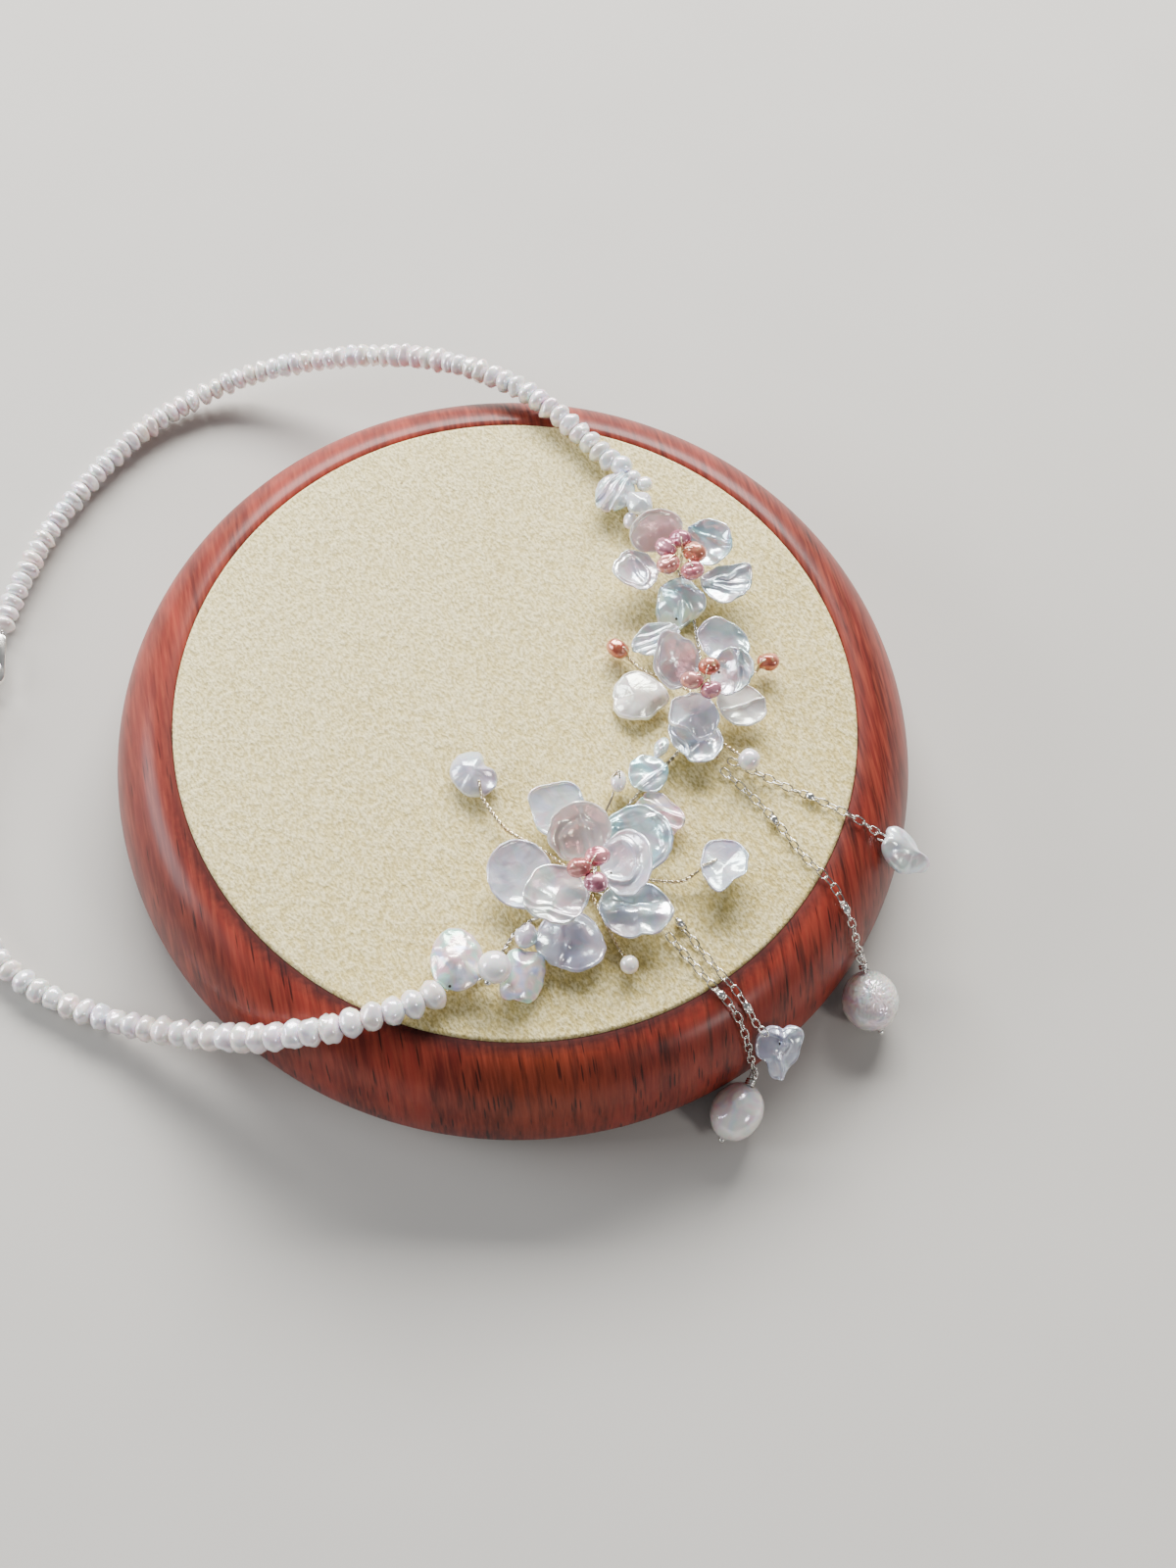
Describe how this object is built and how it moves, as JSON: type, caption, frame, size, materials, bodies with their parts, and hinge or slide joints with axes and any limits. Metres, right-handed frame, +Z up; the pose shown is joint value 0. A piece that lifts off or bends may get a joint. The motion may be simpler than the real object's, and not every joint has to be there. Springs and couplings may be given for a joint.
{
  "type": "pearl choker on round display board",
  "caption": "Freshwater pearl choker with three keshi petal flowers, copper stamens and four chained baroque drops, lying looped over a turned wooden board with a suede pad.",
  "frame": {"origin": "centre of the display board's flat underside, on the surface it stands on", "axes": "+Z up; +X to the right, the flowers' side and the drops' side; -X to the clasp; +Y to the far side, where the far string crosses the rim"},
  "size_m": [0.1765, 0.1524, 0.0363],
  "materials": {
    "wood": "glossy varnish over red-brown padauk with fine dark grain",
    "suede": "matt cream suede with a fine nap",
    "white_pearl": "lustrous white nacre with pink and cream tints",
    "silver_pearl": "bright silver-white keshi nacre with aqua, lilac and brown overtones",
    "rose_pearl": "metallic copper to mauve nacre, very glossy",
    "silver": "polished silver wire and links"
  },
  "bodies": {
    "root": {"board_rim": "wood", "suede_pad": "suede", "far_string_1": "white_pearl", "far_string_2": "white_pearl", "far_string_3": "white_pearl", "far_string_4": "white_pearl", "far_string_5": "white_pearl", "near_string_1": "white_pearl", "near_string_2": "white_pearl", "near_string_3": "white_pearl", "near_string_4": "white_pearl", "near_string_5": "white_pearl", "small_petal_1": "silver_pearl", "small_petal_2": "silver_pearl", "small_petal_3": "silver_pearl", "small_petal_4": "silver_pearl", "small_petal_5": "silver_pearl", "middle_petal_1": "silver_pearl", "middle_petal_2": "silver_pearl", "middle_petal_3": "silver_pearl", "middle_petal_4": "silver_pearl", "middle_petal_5": "silver_pearl", "middle_petal_6": "silver_pearl", "middle_petal_7": "silver_pearl", "middle_petal_8": "silver_pearl", "large_petal_1": "silver_pearl", "large_petal_2": "silver_pearl", "large_petal_3": "silver_pearl", "large_petal_4": "silver_pearl", "large_petal_5": "silver_pearl", "large_petal_6": "silver_pearl", "large_petal_7": "silver_pearl", "large_petal_8": "silver_pearl", "large_petal_9": "silver_pearl", "ridged_leaf_keshi": "silver_pearl", "wedge_pearl": "silver_pearl", "lower_baroque_pearl": "silver_pearl", "wrinkled_keshi": "silver_pearl", "end_round_keshi": "silver_pearl", "end_pink_keshi": "silver_pearl", "end_baroque_pearl": "silver_pearl", "left_sprig_keshi": "silver_pearl", "right_sprig_keshi": "silver_pearl", "end_round_pearl": "white_pearl", "seed_pearls": "white_pearl", "small_flower_stamens": "rose_pearl", "middle_flower_stamens": "rose_pearl", "large_flower_stamens": "rose_pearl", "frame_wire": "silver", "wing_chain": "silver", "wrinkled_chain": "silver", "star_chain": "silver", "egg_chain": "silver", "wing_drop": "silver_pearl", "star_drop": "silver_pearl", "wrinkled_drop": "white_pearl", "egg_drop": "white_pearl", "clasp": "silver", "clasp_ring": "silver"}
  },
  "joints": []
}
